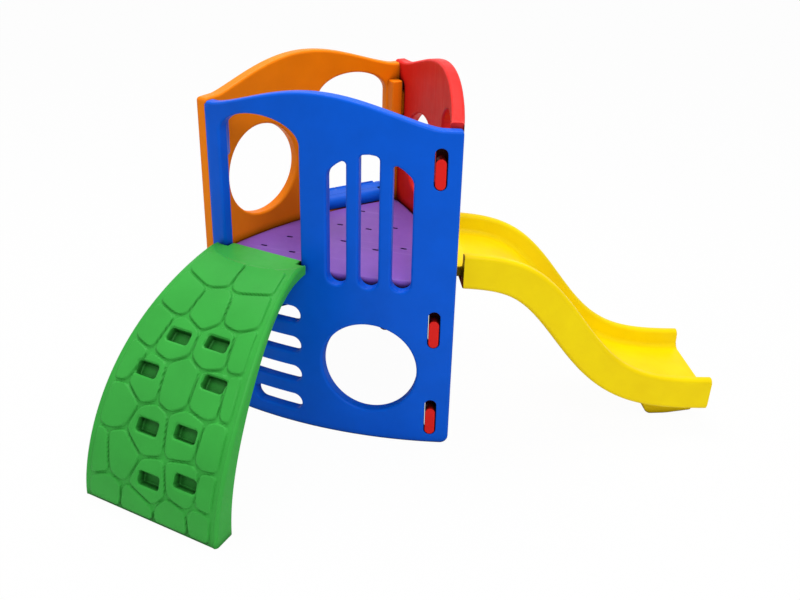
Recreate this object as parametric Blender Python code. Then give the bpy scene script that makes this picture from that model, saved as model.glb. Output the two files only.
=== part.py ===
"""Modular climbing frame: three bowed tab-and-slot walls round a deck, two climbing ramps and a wavy slide.

Metres, +Z up, floor at z = 0. The tower is drawn with its blue wall's chord on the X axis, and one empty
moves everything so that the origin is under the middle of the whole object.

A wall is drawn flat, with x along its arc from the tab end, y inward from its outer face and z up, and is
then bent round its own axis. A module is drawn in its doorway's frame: x across, y inward, z up.
"""
import math
from bisect import bisect

import bmesh
import bpy
from mathutils import Matrix, Vector
from mathutils.geometry import intersect_line_sphere_2d

# Tower
SIDE = 0.957                 # straight distance between two corners
BOW = 0.075                  # how far a wall bulges past that line
WALL = 0.045                 # wall thickness
CORNER_HEIGHTS = (1.194, 1.211, 1.203)    # of the blue, red and orange walls
CREST_RISE = 0.088           # top edge's rise from corner to middle
CREST_HALF_SPAN = 0.42
CREST_SHARPNESS = 0.65       # below 1 the crest is broader than a cosine wave
EDGE_ROUND = 0.010
MERGE = 0.00002              # points nearer each other than this are one
SMALL_ROUND = 0.006
GAP = 0.0004                 # clearance between touching mouldings
LAP = 0.004                  # how far one solid runs into another that it is joined with
DECK_TOP = 0.635
DECK_THICKNESS = 0.045
DECK_ROUND = 0.018

# Openings in the walls, along the arc from the tab end
DOOR_LEFT, DOOR_RIGHT = 0.100, 0.420
DOOR_SPRING, DOOR_TOP = 1.097, 1.183
SILL_CORNER = 0.012
LOWER_HOLE = (0.674, 0.295, 0.176)        # along, height and radius
UPPER_HOLE = (0.698, 0.880, 0.172)
WINDOW_STARTS = (0.519, 0.634, 0.749)
WINDOW_WIDTH = 0.070
WINDOW_SILL = 0.613
WINDOW_CREST = (0.669, 1.097)
WINDOW_FALL = 3.3            # how fast the windows' common arch drops away from its crest
WINDOW_CORNERS = ((0.045, 0.012), (0.017, 0.017), (0.012, 0.045))
RUNG_HEIGHTS = (0.463, 0.338, 0.215)
RUNG_SLOT = (0.108, 0.412)
LOW_RUNG_SLOT = (0.205, 0.412)
LOW_RUNG_HEIGHT = 0.0925
RUNG_GAP = 0.065
LOW_ARCH = (0.110, 0.800)    # the side walls' opening at floor level
LOW_ARCH_SPRING, LOW_ARCH_TOP = 0.170, 0.470
LOW_ARCH_CORNER = 0.012

# Corner joints
SLOT_RANGES = ((0.038, 0.185), (0.402, 0.545), (0.993, 1.136))
SLOT_WIDTH = 0.043
SLOT_FROM_CORNER = 0.0668
TAB_WIDTH = 0.036
TAB_RISE = 0.002             # a seated tab clears the foot of its slot by this
TAB_DROP = 0.036             # free height above a seated tab
TAB_TIP = 0.006              # how far a tab stands proud of the corner line
BOSS = (0.047, 0.094)        # where along the wall the block that carries a tab runs
BOSS_DEPTH = 0.043           # how far in it stands from the wall
BOSS_TAPERS = (0.62, 0, 0)   # part of its length lost at its inner end, for each wall
BOSS_RISE = 0.006            # how far it reaches above the neighbour's slot
SLOT_END_REACH = 0.003       # the slotted end runs past the corner by this
TAB_END_INSET = 0.0145       # the lapping end stops short by this
FOOT_ROUND = 0.030
TOP_ROUND = 0.013

# Ledges that carry the deck
LEDGE = (0.300, 0.720)
LEDGE_LIP = 0.012
LEDGE_DEPTH = 0.028

# Deck
DECK_CLEAR = 0.002
DECK_CORNER_CUT = 0.012
SLIT_LENGTH, SLIT_WIDTH = 0.026, 0.011
DRAIN_SLITS = ((-0.107, 0.122), (-0.033, -0.024), (-0.078, 0.289), (0.013, 0.121), (0.107, -0.056),
               (0.104, 0.170), (0.201, -0.007), (-0.239, -0.063), (-0.294, -0.172), (-0.172, -0.189))

# Modules
TONGUE_WIDTH = 0.300
TONGUE_TOP = 0.675
TONGUE_REACH = 0.052         # how far a module's tongue goes in past the wall's outer face
TONGUE_ROOT = 0.030          # how far it runs back into the module
MODULE_CLEAR = 0.003
RAMP_YAW = math.radians(-1.96)
RAMP_REACH = 0.7135
REAR_RAMP_REACH = 0.450      # the rear ramp is the steeper one
RAMP_CREST = 0.690
RAMP_FULLNESS = 1.713        # exponent of the ramp's quarter curve, 2 being an ellipse
RAMP_INNER_FULLNESS = 1.93
RAMP_TOP_WIDTH = 0.386
RAMP_FOOT_WIDTH = 0.564
RAMP_TAPER = 3.87            # exponent of the narrowing, which comes mostly near the top
RAMP_LEAN = 0.0398           # how far across from its top the ramp's foot stands
RAMP_THICKNESS = 0.0914
RAMP_INNER_RISE = 0.929      # height of the hollow under the ramp as a part of its crest
RAMP_ROUND = 0.014
RAMP_STEPS = 18
RAMP_INNER_STEPS = 10
DISH_RADIUS, DISH_FLARE = 0.165, 0.030
DISH_REACH = 0.100

# Stones and pockets: across from the ramp's middle line, and distance up its face from the foot
STONES = ((-0.066, 0.910), (0.088, 0.916), (-0.130, 0.765), (-0.009, 0.750), (0.126, 0.773), (-0.176, 0.636),
          (-0.073, 0.616), (0.093, 0.622), (0.202, 0.638), (-0.117, 0.459), (0.012, 0.472), (0.138, 0.473),
          (-0.196, 0.350), (-0.050, 0.298), (0.099, 0.322), (0.216, 0.318), (-0.235, 0.170), (-0.136, 0.193),
          (-0.005, 0.136), (0.130, 0.169), (0.242, 0.168), (-0.184, 0.041), (-0.050, 0.031), (0.098, 0.038),
          (0.229, 0.057), (0.241, 0.486), (-0.222, 0.495))
POCKETS = ((-0.064, 0.622), (0.086, 0.637), (-0.128, 0.484), (0.138, 0.509),
           (-0.053, 0.310), (0.098, 0.330), (-0.006, 0.144), (0.138, 0.181))
STONE_FIELD = (0.006, 0.985)
FIELD_MARGIN = 0.026
STONE_HEIGHT = 0.006
STONE_BURIED = 0.005
STONE_SLOPE = 0.005
STONE_WEAR = 0.22            # part of a side that is cut back at each corner
GROOVE_HALF = 0.0025
POCKET_WIDTH, POCKET_HEIGHT, POCKET_DEPTH = 0.088, 0.050, 0.030
POCKET_DRAFT = 0.005
POCKET_OVERSHOOT = 0.020

SLIDE_YAW = math.radians(2.4)
SLIDE_LENGTH = 0.973
SLIDE_WIDTH = 0.426
SLIDE_HIGH, SLIDE_LOW = 0.748, 0.211
SLIDE_MIDDLE = 0.452         # how far out the S curve is steepest
SLIDE_SPREAD = 0.204         # how gently it turns, a smaller figure being steeper
SLIDE_SECTION_DEPTH = 0.129
SLIDE_TROUGH_DEPTH = 0.067
SLIDE_WALL = 0.037
SLIDE_DRAFT = 0.008
SLIDE_STEPS = 24
SLIDE_FOOT = (0.748, 0.962)
SLIDE_FOOT_FLAT = 0.860      # beyond this its underside rises
SLIDE_FOOT_RISE = 0.012
SLIDE_FOOT_WIDTH = 0.200
SLIDE_FOOT_RAKE = 0.030
SLIDE_FOOT_LAP = 0.012       # how far the foot runs up into the slide's floor

SHARP_ANGLE = math.radians(35)
FLAT_ANGLE = 0.002           # faces that meet at less than this are merged before bending
BEND_STEP = 0.0973
ALONG = (1, 0, 0)

COLORS = {
    "blue": (0.005, 0.085, 0.560), "orange": (0.800, 0.180, 0.005), "red": (0.620, 0.020, 0.015),
    "purple": (0.240, 0.090, 0.460), "green": (0.070, 0.430, 0.075), "yellow": (0.880, 0.700, 0.012),
}

ARC_RADIUS = (SIDE ** 2 / 4 + BOW ** 2) / (2 * BOW)
ARC_HALF = math.asin(SIDE / 2 / ARC_RADIUS)
ARC_LENGTH = 2 * ARC_RADIUS * ARC_HALF
CENTRE = Vector((0, SIDE * math.sqrt(3) / 6, 0))
DOOR_MIDDLE = (DOOR_LEFT + DOOR_RIGHT) / 2


def arc_points(cx, cy, rx, ry, start, end, steps):
    """Points on an ellipse's arc, angles in degrees."""
    angles = [math.radians(start + (end - start) * i / steps) for i in range(steps + 1)]
    return [(cx + rx * math.cos(a), cy + ry * math.sin(a)) for a in angles]


def rounded_polygon(corners, steps=3):
    """A polygon from (x, y, radius) corners, each rounded by an arc."""
    points = []
    for i, (x, y, radius) in enumerate(corners):
        here = Vector((x, y))
        back = (Vector(corners[i - 1][:2]) - here).normalized()
        ahead = (Vector(corners[(i + 1) % len(corners)][:2]) - here).normalized()
        if radius == 0:
            points.append((x, y))
            continue
        half = back.angle(ahead) / 2
        middle = here + (back + ahead).normalized() * radius / math.sin(half)
        first = here + back * radius / math.tan(half) - middle
        last = here + ahead * radius / math.tan(half) - middle
        turn = first.angle_signed(last)
        for step in range(steps + 1):
            spot = first.copy()
            spot.rotate(Matrix.Rotation(-turn * step / steps, 2))
            points.append(tuple(middle + spot))
    return [here for i, here in enumerate(points) if math.dist(here, points[i - 1]) > MERGE / 2]


def obround(x0, x1, y0, y1, steps=3):
    """A slot outline with round short ends."""
    radius = min(x1 - x0, y1 - y0) / 2
    return rounded_polygon([(x0, y0, radius), (x1, y0, radius), (x1, y1, radius), (x0, y1, radius)], steps)


def make_material(name):
    material = bpy.data.materials.new(name + "_plastic")
    material.use_nodes = True
    shader = material.node_tree.nodes["Principled BSDF"]
    shader.inputs["Base Color"].default_value = (*COLORS[name], 1)
    shader.inputs["Roughness"].default_value = 0.38
    shader.inputs["Metallic"].default_value = 0.0
    return material


def plate(name, outlines, thickness, edge_round, round_steps=1):
    """A flat plate in the XY plane from closed outlines, holes included, with rounded edges."""
    curve = bpy.data.curves.new(name, "CURVE")
    curve.dimensions = "2D"
    curve.fill_mode = "BOTH"
    curve.extrude = thickness / 2 - edge_round
    curve.bevel_depth = edge_round
    curve.bevel_resolution = round_steps
    curve.offset = -edge_round
    for outline in outlines:
        spline = curve.splines.new("POLY")
        spline.points.add(len(outline) - 1)
        for point, (x, y) in zip(spline.points, outline):
            point.co = (x, y, 0, 1)
        spline.use_cyclic_u = True
    return curve_to_mesh(name, curve)


def curve_to_mesh(name, curve):
    """The curve's closed mesh as a new object; the curve itself is removed."""
    source = bpy.data.objects.new(name + "_curve", curve)
    bpy.context.scene.collection.objects.link(source)
    bpy.context.view_layer.update()
    depsgraph = bpy.context.evaluated_depsgraph_get()
    mesh = bpy.data.meshes.new_from_object(source.evaluated_get(depsgraph))
    mesh.name = name
    bm = bmesh.new()
    bm.from_mesh(mesh)
    bmesh.ops.remove_doubles(bm, verts=bm.verts, dist=MERGE)
    bmesh.ops.recalc_face_normals(bm, faces=bm.faces)
    bm.to_mesh(mesh)
    bm.free()
    bpy.data.objects.remove(source)
    bpy.data.curves.remove(curve)
    piece = bpy.data.objects.new(name, mesh)
    bpy.context.scene.collection.objects.link(piece)
    return piece


def remap(piece, rule):
    """Move every vertex by a rule that takes and gives a Vector."""
    for vertex in piece.data.vertices:
        vertex.co = rule(vertex.co)
    piece.data.update()


def side_to_upright(co):
    """Turn a plate drawn as (inward, height) into the module frame, its thickness across."""
    return Vector((co.z, co.x, co.y))


def front_to_upright(co):
    """Turn a plate drawn as (along, height) upright, with its thickness running inward."""
    return Vector((co.x, -co.z, co.y))


def box(name, low, high):
    bpy.ops.mesh.primitive_cube_add(size=1)
    piece = bpy.context.object
    piece.name = name
    low, high = Vector(low), Vector(high)
    middle, size = (low + high) / 2, high - low
    remap(piece, lambda co: middle + Vector(a * b for a, b in zip(co, size)))
    return piece


def boolean(target, tool, operation):
    """Apply one exact Boolean and remove the tool."""
    modifier = target.modifiers.new(operation.lower(), "BOOLEAN")
    modifier.operation = operation
    modifier.solver = "EXACT"
    modifier.object = tool
    bpy.context.view_layer.update()
    depsgraph = bpy.context.evaluated_depsgraph_get()
    mesh = bpy.data.meshes.new_from_object(target.evaluated_get(depsgraph))
    target.modifiers.remove(modifier)
    target.data = mesh
    bpy.data.objects.remove(tool)


def join_shells(name, pieces):
    """Several closed shells in one tool object."""
    bm = bmesh.new()
    for piece in pieces:
        bm.from_mesh(piece.data)
        bpy.data.objects.remove(piece)
    mesh = bpy.data.meshes.new(name)
    bm.to_mesh(mesh)
    bm.free()
    joined = bpy.data.objects.new(name, mesh)
    bpy.context.scene.collection.objects.link(joined)
    return joined


def finish(piece, color, collection, parent, matrix=None):
    """Give a piece its colour, shading, collection and place."""
    if matrix is not None:
        piece.data.transform(matrix)
    piece.data.materials.clear()
    piece.data.materials.append(make_material(color))
    piece.data.shade_smooth()
    piece.data.set_sharp_from_angle(angle=SHARP_ANGLE)
    for other in piece.users_collection:
        other.objects.unlink(piece)
    collection.objects.link(piece)
    piece.parent = parent


def turn_to_wall(index):
    """The turn about the tower's middle that takes the blue wall to wall number index."""
    turn = Matrix.Rotation(math.radians(120 * index), 4, "Z")
    return Matrix.Translation(CENTRE) @ turn @ Matrix.Translation(-CENTRE)


def bend_point(co):
    """Flat wall coordinates to the bowed wall on the blue side."""
    angle = (co.x - ARC_LENGTH / 2) / ARC_RADIUS
    radius = ARC_RADIUS - co.y
    return Vector((radius * math.sin(angle), ARC_RADIUS - BOW - radius * math.cos(angle), co.z))


def bend(piece):
    """Cut a flat piece at even steps along its arc, then bend it."""
    bm = bmesh.new()
    bm.from_mesh(piece.data)
    bmesh.ops.dissolve_limit(bm, angle_limit=FLAT_ANGLE, verts=bm.verts, edges=bm.edges)
    for i in range(1, int(ARC_LENGTH / BEND_STEP) + 1):
        geometry = bm.verts[:] + bm.edges[:] + bm.faces[:]
        bmesh.ops.bisect_plane(bm, geom=geometry, dist=MERGE, plane_co=(i * BEND_STEP, 0, 0), plane_no=ALONG)
    bm.to_mesh(piece.data)
    bm.free()
    remap(piece, bend_point)


def crest(along):
    """How far the wall's top edge rises above its corners."""
    part = min(abs(along - ARC_LENGTH / 2) / CREST_HALF_SPAN, 1)
    return CREST_RISE * (0.5 + 0.5 * math.cos(math.pi * part)) ** CREST_SHARPNESS


def low_arch():
    """The corners of the opening at floor level, from left to right."""
    start, end = LOW_ARCH
    half = (end - start) / 2
    arch = arc_points(start + half, LOW_ARCH_SPRING, half, LOW_ARCH_TOP - LOW_ARCH_SPRING, 180, 0, 16)
    return [(start, 0, LOW_ARCH_CORNER)] + [(x, y, 0) for x, y in arch] + [(end, 0, LOW_ARCH_CORNER)]


def wall_outline(corner_height, foot_corners):
    left, right = TAB_END_INSET, ARC_LENGTH + SLOT_END_REACH
    start, end = ARC_LENGTH / 2 + CREST_HALF_SPAN, ARC_LENGTH / 2 - CREST_HALF_SPAN
    steps = 16
    top = [start + (end - start) * i / steps for i in range(steps + 1)]
    corners = [(left, 0, FOOT_ROUND)] + foot_corners
    corners += [(right, 0, FOOT_ROUND), (right, corner_height, TOP_ROUND)]
    corners += [(along, corner_height + crest(along), 0) for along in top]
    corners += [(left, corner_height, TOP_ROUND)]
    return rounded_polygon(corners)


def door_outline():
    middle, half = DOOR_MIDDLE, (DOOR_RIGHT - DOOR_LEFT) / 2
    arch = arc_points(middle, DOOR_SPRING, half, DOOR_TOP - DOOR_SPRING, 0, 180, 12)
    sill = rounded_polygon([(DOOR_LEFT, DECK_TOP, SILL_CORNER), (DOOR_RIGHT, DECK_TOP, SILL_CORNER),
                            (DOOR_RIGHT, DOOR_SPRING, 0), (DOOR_LEFT, DOOR_SPRING, 0)])
    return sill[:-2] + arch


def window_outline(start, corner_rounds):
    """One window slot, cut off at the top by the arch that all three share."""
    left_round, right_round = corner_rounds
    end, middle = start + WINDOW_WIDTH, start + WINDOW_WIDTH / 2

    def top(along):
        return WINDOW_CREST[1] - WINDOW_FALL * (along - WINDOW_CREST[0]) ** 2
    foot_round = WINDOW_WIDTH / 2
    return rounded_polygon([(start, WINDOW_SILL, foot_round), (end, WINDOW_SILL, foot_round),
                            (end, top(end), right_round), (middle, top(middle), 0),
                            (start, top(start), left_round)])


def round_hole(along, height, radius):
    return arc_points(along, height, radius, radius, 0, 360, 24)[:-1]


def rung_outlines():
    half = RUNG_GAP / 2
    slots = [obround(*RUNG_SLOT, z - half, z + half) for z in RUNG_HEIGHTS]
    return slots + [obround(*LOW_RUNG_SLOT, LOW_RUNG_HEIGHT - half, LOW_RUNG_HEIGHT + half)]


def corner_slot_cutter():
    middle = ARC_LENGTH - SLOT_FROM_CORNER
    outlines = [obround(middle - SLOT_WIDTH / 2, middle + SLOT_WIDTH / 2, *r) for r in SLOT_RANGES]
    cutter = plate("corner_slots", outlines, 3 * WALL, 0)
    remap(cutter, front_to_upright)
    return cutter


def tab(low, high, boss_taper):
    """A tab: an obround bar that passes the neighbour's slot, on a block on the wall's inner face."""
    start, end = BOSS
    foot, front = WALL - 2 * SMALL_ROUND, WALL + BOSS_DEPTH + GAP
    corners = [(foot, low, SMALL_ROUND), (front, low, SMALL_ROUND), (front, high + BOSS_RISE, SMALL_ROUND),
               (foot, high + BOSS_RISE, SMALL_ROUND)]
    block = plate("tab_block", [rounded_polygon(corners, 1)], end - start, SMALL_ROUND)

    def taper(co):
        left = 1 - boss_taper * max(co.x - WALL, 0) / BOSS_DEPTH
        return Vector((start + (co.z + (end - start) / 2) * left, co.x, co.y))
    remap(block, taper)
    length = start + SMALL_ROUND * 2 + TAB_TIP
    bar_side = WALL + (BOSS_DEPTH - TAB_WIDTH) / 2
    bar_outline = obround(bar_side, bar_side + TAB_WIDTH, low + TAB_RISE, high - TAB_DROP)
    bar = plate("tab_bar", [bar_outline], length, 0)
    remap(bar, lambda co: Vector((co.z - TAB_TIP + length / 2, co.x, co.y)))
    boolean(block, bar, "UNION")
    return block


def neighbour_envelope():
    """The space that the neighbour's slotted end takes up, in the flat frame of that neighbour."""
    end = ARC_LENGTH + SLOT_END_REACH + GAP
    return box("neighbour", (end - ARC_LENGTH / 2, -WALL, -WALL), (end, WALL + GAP, ARC_LENGTH * 2))


def ledge():
    """The inner shelf that carries one side of the deck, its underside at 45 degrees."""
    start, end = LEDGE
    top = DECK_TOP - DECK_THICKNESS - GAP
    back, front = WALL - LAP, WALL + LEDGE_DEPTH
    lip = top - LEDGE_LIP
    profile = [(back, lip - LEDGE_DEPTH - LAP), (front, lip), (front, top), (back, top)]
    shelf = plate("ledge", [profile], end - start, 0)
    remap(shelf, lambda co: Vector((co.z + (start + end) / 2, co.x, co.y)))
    return shelf


def make_wall(name, index, foot_corners, holes):
    """One wall: a plate with its openings, the deck ledge, corner slots at one end and tabs at the other."""
    outline = wall_outline(CORNER_HEIGHTS[index], foot_corners)
    wall = plate(name, [outline, door_outline()] + holes, WALL, EDGE_ROUND)
    remap(wall, front_to_upright)
    remap(wall, lambda co: co + Vector((0, WALL / 2, 0)))
    boolean(wall, ledge(), "UNION")
    boolean(wall, corner_slot_cutter(), "DIFFERENCE")
    bend(wall)
    envelope = neighbour_envelope()
    bend(envelope)
    remap(envelope, lambda co: turn_to_wall(-1) @ co)
    boolean(wall, envelope, "DIFFERENCE")
    tabs = join_shells("tabs", [tab(low, high, BOSS_TAPERS[index]) for low, high in SLOT_RANGES])
    bend(tabs)
    boolean(wall, tabs, "UNION")
    return wall


def deck_outline():
    """A bowed triangle that fits inside the walls."""
    radius = ARC_RADIUS - WALL - DECK_CLEAR
    arc_centre = Vector((0, ARC_RADIUS - BOW))
    middle = CENTRE.xy
    far = middle + Vector((math.cos(math.radians(-30)), math.sin(math.radians(-30)))) * SIDE
    hits = intersect_line_sphere_2d(middle, far, arc_centre, radius)
    corner = max((hit for hit in hits if hit), key=lambda hit: hit.x)
    reach = math.asin((corner.x - DECK_CORNER_CUT) / radius)
    steps = 9
    side = [-reach + 2 * reach * i / steps for i in range(steps + 1)]
    points = []
    for index in range(3):
        turn = turn_to_wall(index)
        for angle in side:
            spot = Vector((radius * math.sin(angle), arc_centre.y - radius * math.cos(angle), 0))
            points.append(tuple((turn @ spot).xy))
    return points


def drain_slits():
    """The short slits scattered over the deck, placed from the tower's middle."""
    half_length, half_width = SLIT_LENGTH / 2, SLIT_WIDTH / 2
    for across, inward in DRAIN_SLITS:
        x, y = CENTRE.x + across, CENTRE.y + inward
        yield obround(x - half_length, x + half_length, y - half_width, y + half_width, 1)


def make_deck():
    deck = plate("deck", [deck_outline()], DECK_THICKNESS, DECK_ROUND, 2)
    slits = plate("slits", drain_slits(), 2 * DECK_THICKNESS, 0)
    boolean(deck, slits, "DIFFERENCE")
    remap(deck, lambda co: co + Vector((0, 0, DECK_TOP - DECK_THICKNESS / 2)))
    return deck


def doorway_frame(index):
    """Place of a wall's doorway: x across, y inward, origin on the outer face at the floor."""
    angle = (DOOR_MIDDLE - ARC_LENGTH / 2) / ARC_RADIUS
    foot = bend_point(Vector((DOOR_MIDDLE, 0, 0)))
    return turn_to_wall(index) @ Matrix.Translation(foot) @ Matrix.Rotation(angle, 4, "Z")


def tongue():
    """The part of a module that goes in through the doorway and lies on the sill."""
    low, high = DECK_TOP + GAP, TONGUE_TOP
    profile = [(-TONGUE_ROOT, low), (TONGUE_REACH, low), (TONGUE_REACH, high), (-TONGUE_ROOT, high)]
    piece = plate("tongue", [profile], TONGUE_WIDTH, SMALL_ROUND)
    remap(piece, side_to_upright)
    return piece


def ramp_point(turn, reach=RAMP_REACH, rise=RAMP_CREST, fullness=RAMP_FULLNESS):
    """Point (outward, height) on the ramp's face; turn runs from 0 at the foot to 1 at the wall."""
    angle = turn * math.pi / 2
    power = 2 / fullness
    return reach * math.cos(angle) ** power, rise * math.sin(angle) ** power


def ramp_path(steps=240):
    """Points (distance up the face, outward, height) from the ramp's foot to the wall."""
    path = [(0.0, *ramp_point(0))]
    for i in range(1, steps + 1):
        spot = ramp_point(i / steps)
        path.append((path[-1][0] + math.dist(spot, path[-1][1:]), *spot))
    return path


RAMP_PATH = ramp_path()


def ramp_shape(co):
    """Narrow a straight ramp towards its top and lean its middle line."""
    height = min(max(co.z / RAMP_CREST, 0), 1)
    narrowing = 1 - (1 - RAMP_TOP_WIDTH / RAMP_FOOT_WIDTH) * height ** RAMP_TAPER
    return Vector((co.x * narrowing - co.y * RAMP_LEAN / RAMP_REACH, co.y, co.z))


def ramp_surface(across, distance, lift):
    """A point over the ramp's face, from across, distance up the face and lift."""
    index = min(bisect(RAMP_PATH, (distance,)), len(RAMP_PATH) - 1)
    before, after = (Vector(spot) for spot in RAMP_PATH[index - 1:index + 1])
    spot = before.lerp(after, (distance - before.x) / (after.x - before.x))
    normal = Vector((after.z - before.z, before.y - after.y)).normalized()
    out, up = spot.y + normal.x * lift, spot.z + normal.y * lift
    return Vector((across + out * RAMP_LEAN / RAMP_REACH, -out, up))


def landing_dish():
    """A cutter with sloping sides for the dished landing in front of the doorway."""
    depth = RAMP_CREST - TONGUE_TOP + EDGE_ROUND
    top_radius = DISH_RADIUS + DISH_FLARE
    bpy.ops.mesh.primitive_cone_add(vertices=24, radius1=DISH_RADIUS, radius2=top_radius, depth=depth)
    dish = bpy.context.object
    rise = TONGUE_TOP + GAP + depth / 2
    remap(dish, lambda co: Vector((co.x, co.y * DISH_REACH / DISH_RADIUS, co.z + rise)))
    return dish


def ramp_body():
    """The curved slab with its landing, wider at its foot."""
    outer = [ramp_point(i / RAMP_STEPS) for i in range(RAMP_STEPS + 1)]
    outer = [(-out, up) for out, up in outer if out > MODULE_CLEAR]
    inner_reach, inner_rise = RAMP_REACH - RAMP_THICKNESS, RAMP_CREST * RAMP_INNER_RISE
    inner = [ramp_point(1 - i / RAMP_INNER_STEPS, inner_reach, inner_rise, RAMP_INNER_FULLNESS)
             for i in range(RAMP_INNER_STEPS + 1)]
    inner = [(-out, up) for out, up in inner if out > MODULE_CLEAR + EDGE_ROUND]
    wall_side = [(-MODULE_CLEAR, RAMP_CREST), (-MODULE_CLEAR, inner_rise)]
    body = plate("ramp_body", [outer + wall_side + inner], RAMP_FOOT_WIDTH, RAMP_ROUND, 2)
    remap(body, side_to_upright)
    remap(body, ramp_shape)
    return body


def stone_field():
    """The convex part of the ramp's face that carries stones."""
    low, high = STONE_FIELD
    steps = 8
    right = []
    for i in range(steps + 1):
        distance = low + (high - low) * i / steps
        height = ramp_surface(0, distance, 0).z
        edge = ramp_shape(Vector((RAMP_FOOT_WIDTH / 2, 0, height))).x
        right.append(Vector((edge - FIELD_MARGIN, distance)))
    return right + [Vector((-spot.x, spot.y)) for spot in reversed(right)]


def clip_cell(cell, here, other):
    """Keep the part of a cell that is nearer here than other, less half a groove."""
    middle, away = (here + other) / 2, (other - here).normalized()
    limit = middle.dot(away) - GROOVE_HALF
    kept = []
    for first, second in zip(cell, cell[1:] + cell[:1]):
        a, b = first.dot(away) - limit, second.dot(away) - limit
        if a <= 0:
            kept.append(first)
        if a * b < 0:
            kept.append(first.lerp(second, a / (a - b)))
    return kept


def stone_cells():
    """Each stone's outline as (across, distance) points: what lies nearer its own seed than any other."""
    seeds = [Vector(seed) for seed in STONES]
    for seed in seeds:
        cell = stone_field()
        for other in seeds:
            if other is not seed:
                cell = clip_cell(cell, seed, other)
        yield cell


def soften(cell):
    """Cut a cell's corners so that it looks like a worn stone."""
    points = []
    for i, here in enumerate(cell):
        back, ahead = cell[i - 1], cell[(i + 1) % len(cell)]
        points.append(here.lerp(back, STONE_WEAR))
        points.append(here.lerp(ahead, STONE_WEAR))
    return points


def shell_between(bm, rings):
    """A closed shell through equal rings of vertices, capped at both ends."""
    for low, high in zip(rings, rings[1:]):
        for i in range(len(low)):
            j = (i + 1) % len(low)
            bm.faces.new((low[i], low[j], high[j], high[i]))
    bm.faces.new(rings[0][::-1])
    bm.faces.new(rings[-1])


def object_from_bmesh(name, bm):
    bmesh.ops.recalc_face_normals(bm, faces=bm.faces)
    mesh = bpy.data.meshes.new(name)
    bm.to_mesh(mesh)
    bm.free()
    piece = bpy.data.objects.new(name, mesh)
    bpy.context.scene.collection.objects.link(piece)
    return piece


def make_stones():
    """All raised stones as closed shells with sloping sides, sunk into the ramp's face."""
    bm = bmesh.new()
    for cell in stone_cells():
        outline = soften(cell)
        middle = sum(outline, Vector((0, 0))) / len(outline)
        inset = [spot + (middle - spot).normalized() * STONE_SLOPE for spot in outline]
        foot = [bm.verts.new(ramp_surface(*spot, -STONE_BURIED)) for spot in outline]
        crown = [bm.verts.new(ramp_surface(*spot, STONE_HEIGHT)) for spot in inset]
        shell_between(bm, [foot, crown])
    return object_from_bmesh("stones", bm)


def make_pockets():
    """Drafted hand and foot holds, square to the ramp's face."""
    bm = bmesh.new()
    for across, distance in POCKETS:
        rings = []
        for lift, draft in ((POCKET_OVERSHOOT, 0), (-POCKET_DEPTH, 2 * POCKET_DRAFT)):
            middle = ramp_surface(across, distance, lift)
            side = Vector(((POCKET_WIDTH - draft) / 2, 0, 0))
            slope = ramp_surface(across, distance + LAP, lift) - ramp_surface(across, distance - LAP, lift)
            rise = Vector((0, slope.y, slope.z)).normalized() * (POCKET_HEIGHT - draft) / 2
            low, high = middle - rise, middle + rise
            corners = (low - side, low + side, high + side, high - side)
            rings.append([bm.verts.new(corner) for corner in corners])
        shell_between(bm, rings)
    return object_from_bmesh("pockets", bm)


def make_ramp(name, reach):
    """One ramp, drawn at the green ramp's reach and then drawn in to its own."""
    ramp = ramp_body()
    ramp.name = name
    boolean(ramp, make_stones(), "UNION")
    boolean(ramp, landing_dish(), "DIFFERENCE")
    boolean(ramp, make_pockets(), "DIFFERENCE")
    remap(ramp, lambda co: Vector((co.x, co.y * reach / RAMP_REACH, co.z)))
    boolean(ramp, tongue(), "UNION")
    return ramp


def slide_height(out):
    """Height of the side walls' top at a distance from the wall."""
    part = 0.5 - 0.5 * math.tanh((out - SLIDE_MIDDLE) / SLIDE_SPREAD)
    return SLIDE_LOW + (SLIDE_HIGH - SLIDE_LOW) * part


def slide_section():
    """The slide's cross-section as (across, height) points, 0 being the top of the side walls."""
    half, inner = SLIDE_WIDTH / 2, SLIDE_WIDTH / 2 - SLIDE_WALL
    floor = inner - SLIDE_DRAFT
    deep, trough = -SLIDE_SECTION_DEPTH, -SLIDE_TROUGH_DEPTH
    return rounded_polygon([(-half, deep, 0.018), (half, deep, 0.018), (half, 0, 0.014), (inner, 0, 0.014),
                            (floor, trough, 0.022), (-floor, trough, 0.022), (-inner, 0, 0.014),
                            (-half, 0, 0.014)], 2)


def slide_foot():
    start, end = SLIDE_FOOT
    top = SLIDE_LOW - SLIDE_SECTION_DEPTH + SLIDE_FOOT_LAP
    profile = [(-end, SLIDE_FOOT_RISE), (-SLIDE_FOOT_FLAT, 0), (-start - SLIDE_FOOT_RAKE, 0), (-start, top),
               (-end, top)]
    foot = plate("foot", [profile], SLIDE_FOOT_WIDTH, SMALL_ROUND)
    remap(foot, side_to_upright)
    return foot


def make_slide(name):
    """The slide's section swept down its S curve, with the doorway tongue and the foot joined on."""
    bm = bmesh.new()
    rings = []
    for i in range(SLIDE_STEPS + 1):
        out = MODULE_CLEAR + (SLIDE_LENGTH - MODULE_CLEAR) * i / SLIDE_STEPS
        fall = slide_height(out - LAP) - slide_height(out + LAP) if i else 0
        normal = Vector((fall, 2 * LAP)).normalized()
        crown = Vector((0, -out, slide_height(out)))
        downward = Vector((0, -normal.x, normal.y))
        ring = [crown + Vector((across, 0, 0)) + downward * up for across, up in slide_section()]
        rings.append([bm.verts.new(spot) for spot in ring])
    shell_between(bm, rings)
    slide = object_from_bmesh(name, bm)
    boolean(slide, tongue(), "UNION")
    boolean(slide, slide_foot(), "UNION")
    return slide


def clear_scene():
    for item in list(bpy.data.objects):
        bpy.data.objects.remove(item)


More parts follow.
